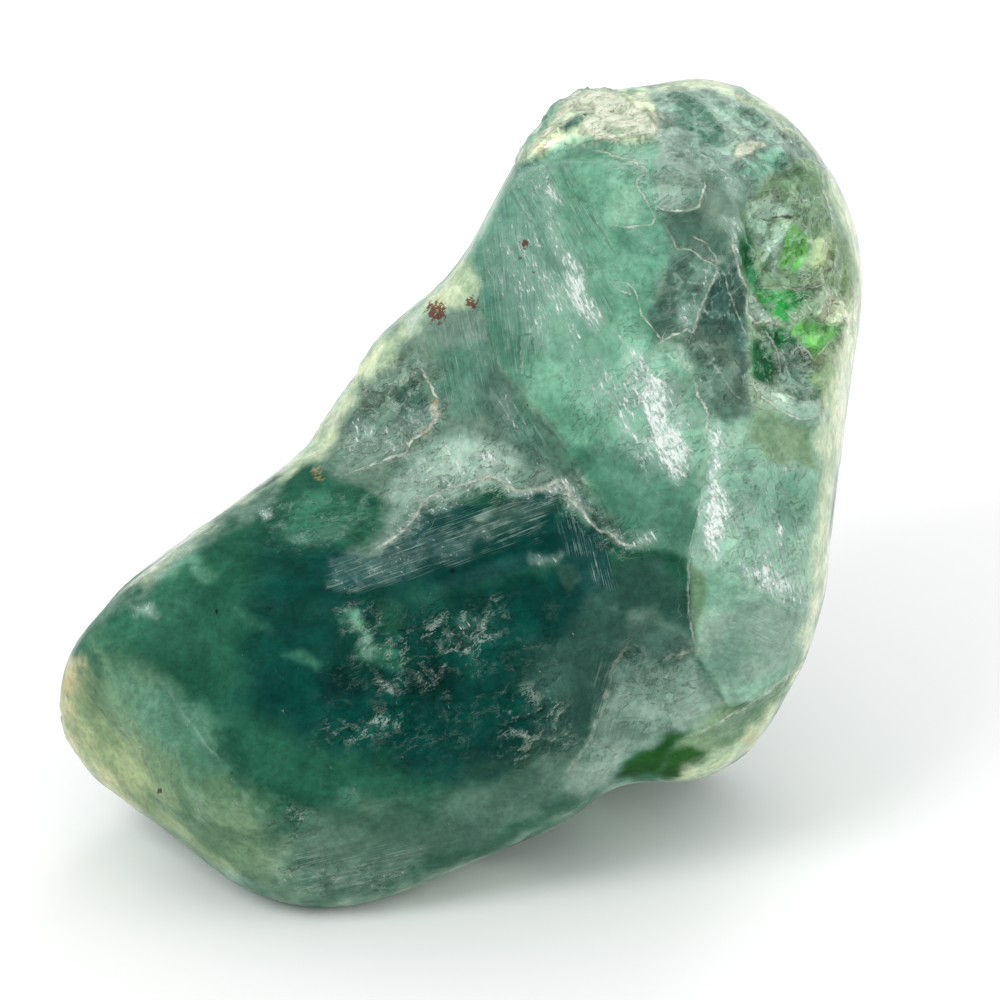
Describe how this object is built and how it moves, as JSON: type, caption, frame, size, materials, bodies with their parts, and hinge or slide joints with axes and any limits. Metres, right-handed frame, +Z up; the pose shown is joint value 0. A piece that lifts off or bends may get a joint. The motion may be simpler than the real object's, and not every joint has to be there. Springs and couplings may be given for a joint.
{
  "type": "raw fluorite",
  "caption": "Rough lump of deep sea-green fluorite, boot-shaped and standing, with broad waxy facets, a crusty ridge, shell-shaped breaks and a stepped cleavage gap.",
  "frame": {"origin": "middle of the stone's box, on the ground plane that its sawn-flat resting face lies in", "axes": "+Z up, -Y towards the viewer who sees the front, -X towards the low toe, +X towards the upright leg"},
  "size_m": [0.129, 0.0992, 0.1141],
  "materials": {
    "fluorite": "waxy, half-frosted, translucent"
  },
  "bodies": {
    "root": {"fluorite_stone": "fluorite"}
  },
  "joints": []
}
